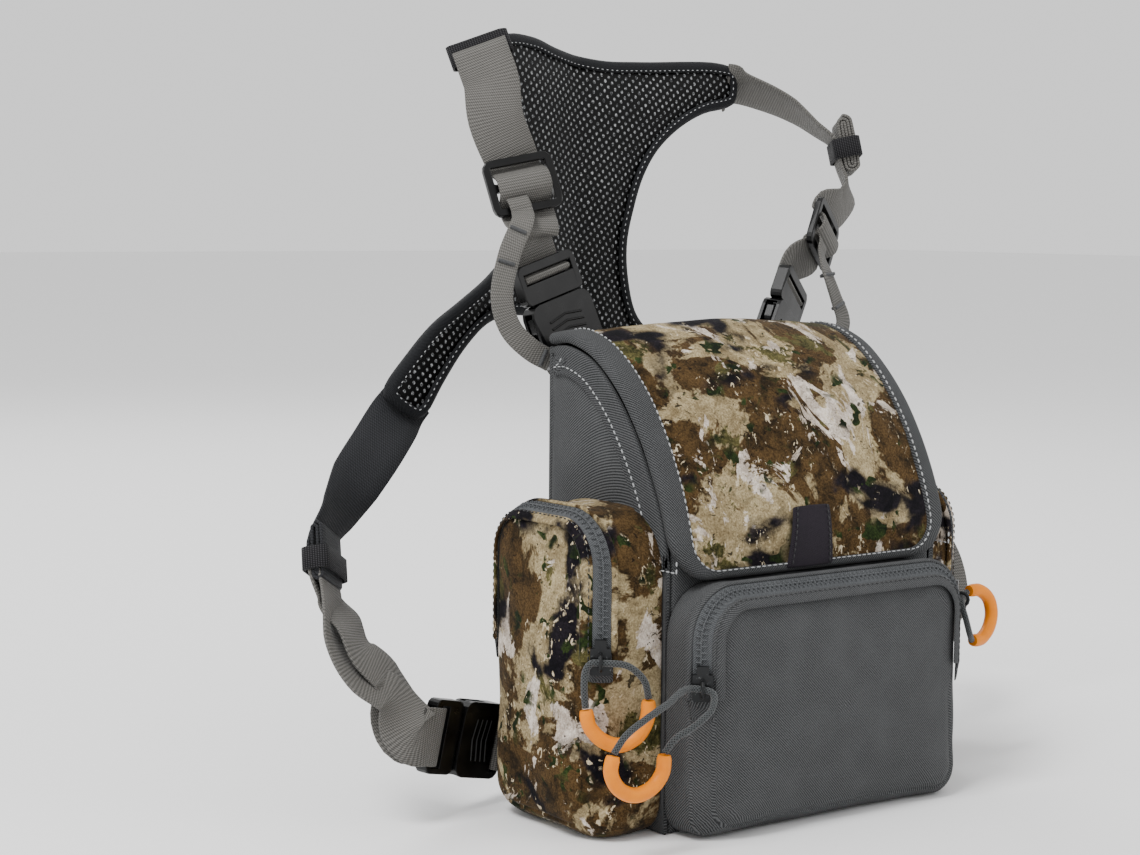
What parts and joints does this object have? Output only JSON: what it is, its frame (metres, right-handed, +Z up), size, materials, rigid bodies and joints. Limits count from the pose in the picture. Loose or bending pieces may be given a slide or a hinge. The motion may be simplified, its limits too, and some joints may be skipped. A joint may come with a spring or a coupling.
{
  "type": "binocular harness pack",
  "caption": "Chest pack with a flap lid, zipped front and side pockets, and a padded harness on buckled webbing straps.",
  "frame": {"origin": "centre of the flat back face of the pack, the face that rests on the wearer's chest", "axes": "+Y out of the back face towards the wearer, +Z up, +X to the right as seen from the front"},
  "size_m": [0.3866, 0.2035, 0.3427],
  "materials": {
    "grey_cloth": "woven polyester, mid grey",
    "camo_cloth": null,
    "foam": "soft padding",
    "zip_tape": "woven tape with a nylon coil",
    "pull_tab": "dark folded webbing",
    "webbing": "ribbed webbing, warm grey",
    "elastic": "knitted elastic",
    "air_mesh": "black air mesh with a bound edge",
    "black_plastic": "moulded acetal, semi-gloss",
    "slider": "dark coated zinc",
    "cord": "braided cord",
    "orange_grip": "soft orange rubber",
    "magnet": "plated disc"
  },
  "bodies": {
    "pack": {"back_panel": "grey_cloth", "front_panel": "grey_cloth", "left_side_panel": "grey_cloth", "right_side_panel": "grey_cloth", "base_panel": "grey_cloth", "front_pocket": "grey_cloth", "base_pad": "foam", "left_pocket": "camo_cloth", "right_pocket": "camo_cloth", "front_zip": "zip_tape", "left_zip": "zip_tape", "right_zip": "zip_tape", "body_magnet": "magnet", "upper_left_socket": "black_plastic", "upper_left_plug": "black_plastic", "upper_left_tab": "webbing", "upper_left_strap": "webbing", "upper_left_keeper": "elastic", "upper_right_socket": "black_plastic", "upper_right_plug": "black_plastic", "upper_right_tab": "webbing", "upper_right_strap": "webbing", "upper_right_keeper": "elastic", "lower_left_socket": "black_plastic", "lower_left_plug": "black_plastic", "lower_left_tab": "webbing", "lower_left_strap": "webbing", "lower_left_keeper": "elastic", "lower_right_socket": "black_plastic", "lower_right_plug": "black_plastic", "lower_right_tab": "webbing", "lower_right_strap": "webbing", "lower_right_keeper": "elastic", "upper_left_triglide": "black_plastic", "upper_left_tether": "webbing", "upper_right_triglide": "black_plastic", "upper_right_tether": "webbing", "yoke_pad": "air_mesh"},
    "lid": {"lid_panel": "camo_cloth", "lid_binding": "grey_cloth", "lid_pull_tab": "pull_tab", "lid_magnet": "magnet"},
    "front_slider": {"front_slider": "slider"},
    "front_pull": {"front_pull_cord": "cord", "front_pull_grip": "orange_grip"},
    "left_slider": {"left_slider": "slider"},
    "left_pull": {"left_pull_cord": "cord", "left_pull_grip": "orange_grip"},
    "right_slider": {"right_slider": "slider"},
    "right_pull": {"right_pull_cord": "cord", "right_pull_grip": "orange_grip"},
    "upper_left_prong_a": {"upper_left_prong_a": "black_plastic"},
    "upper_left_prong_b": {"upper_left_prong_b": "black_plastic"},
    "upper_right_prong_a": {"upper_right_prong_a": "black_plastic"},
    "upper_right_prong_b": {"upper_right_prong_b": "black_plastic"},
    "lower_left_prong_a": {"lower_left_prong_a": "black_plastic"},
    "lower_left_prong_b": {"lower_left_prong_b": "black_plastic"},
    "lower_right_prong_a": {"lower_right_prong_a": "black_plastic"},
    "lower_right_prong_b": {"lower_right_prong_b": "black_plastic"}
  },
  "joints": [
    {"name": "lid_hinge", "type": "hinge", "parent": "pack", "child": "lid", "pos_m": [0, -0.0005, 0.099], "axis": [-1, 0, 0], "range_deg": [0, 85]},
    {"name": "front_zip_slide", "type": "slide", "parent": "pack", "child": "front_slider", "axis": [0, 0, 1], "range_m": [0, 0.012]},
    {"name": "front_pull_swing", "type": "hinge", "parent": "front_slider", "child": "front_pull", "pos_m": [-0.07904, -0.10608, -0.036], "axis": [-0.7507, 0.6606, 0], "range_deg": [0, 80]},
    {"name": "left_zip_slide", "type": "slide", "parent": "pack", "child": "left_slider", "axis": [0, 0, 1], "range_m": [0, 0.022]},
    {"name": "left_pull_swing", "type": "hinge", "parent": "left_slider", "child": "left_pull", "pos_m": [-0.11365, -0.08274, -0.025], "axis": [0.6222, 0.7828, 0], "range_deg": [0, 36]},
    {"name": "right_zip_slide", "type": "slide", "parent": "pack", "child": "right_slider", "axis": [0, 0, 1], "range_m": [0, 0.018]},
    {"name": "right_pull_swing", "type": "hinge", "parent": "right_slider", "child": "right_pull", "pos_m": [0.10665, -0.07474, -0.021], "axis": [-0.6222, 0.7828, 0], "range_deg": [0, 55]},
    {"name": "upper_left_squeeze_b", "type": "hinge", "parent": "pack", "child": "upper_left_prong_b", "pos_m": [-0.05686, 0.01398, 0.1216], "axis": [0.046, 0.9871, -0.1533], "range_deg": [0, 9], "stiffness_Nm_per_rad": 0.2},
    {"name": "upper_left_squeeze_a", "type": "hinge", "parent": "pack", "child": "upper_left_prong_a", "pos_m": [-0.07496, 0.01393, 0.11583], "axis": [-0.046, -0.9871, 0.1533], "range_deg": [0, 9], "stiffness_Nm_per_rad": 0.2},
    {"name": "upper_right_squeeze_b", "type": "hinge", "parent": "pack", "child": "upper_right_prong_b", "pos_m": [0.08492, 0.02322, 0.10465], "axis": [-0.4191, 0.9037, 0.0873], "range_deg": [0, 9], "stiffness_Nm_per_rad": 0.2},
    {"name": "upper_right_squeeze_a", "type": "hinge", "parent": "pack", "child": "upper_right_prong_a", "pos_m": [0.07077, 0.01568, 0.11485], "axis": [0.4191, -0.9037, -0.0873], "range_deg": [0, 9], "stiffness_Nm_per_rad": 0.2},
    {"name": "lower_left_squeeze_b", "type": "hinge", "parent": "pack", "child": "lower_left_prong_b", "pos_m": [-0.12856, -0.0029, -0.05881], "axis": [-0.2627, 0.963, 0.0596], "range_deg": [0, 9], "stiffness_Nm_per_rad": 0.2},
    {"name": "lower_left_squeeze_a", "type": "hinge", "parent": "pack", "child": "lower_left_prong_a", "pos_m": [-0.13288, -0.00294, -0.07732], "axis": [0.2627, -0.963, -0.0596], "range_deg": [0, 9], "stiffness_Nm_per_rad": 0.2},
    {"name": "lower_right_squeeze_b", "type": "hinge", "parent": "pack", "child": "lower_right_prong_b", "pos_m": [0.13288, -0.00294, -0.07732], "axis": [0.2627, 0.963, 0.0596], "range_deg": [0, 9], "stiffness_Nm_per_rad": 0.2},
    {"name": "lower_right_squeeze_a", "type": "hinge", "parent": "pack", "child": "lower_right_prong_a", "pos_m": [0.12856, -0.0029, -0.05881], "axis": [-0.2627, -0.963, -0.0596], "range_deg": [0, 9], "stiffness_Nm_per_rad": 0.2}
  ],
  "couplings": [
    {"joint": "upper_left_squeeze_a", "follows": "upper_left_squeeze_b", "ratio": 1},
    {"joint": "upper_right_squeeze_a", "follows": "upper_right_squeeze_b", "ratio": 1},
    {"joint": "lower_left_squeeze_a", "follows": "lower_left_squeeze_b", "ratio": 1},
    {"joint": "lower_right_squeeze_a", "follows": "lower_right_squeeze_b", "ratio": 1}
  ]
}
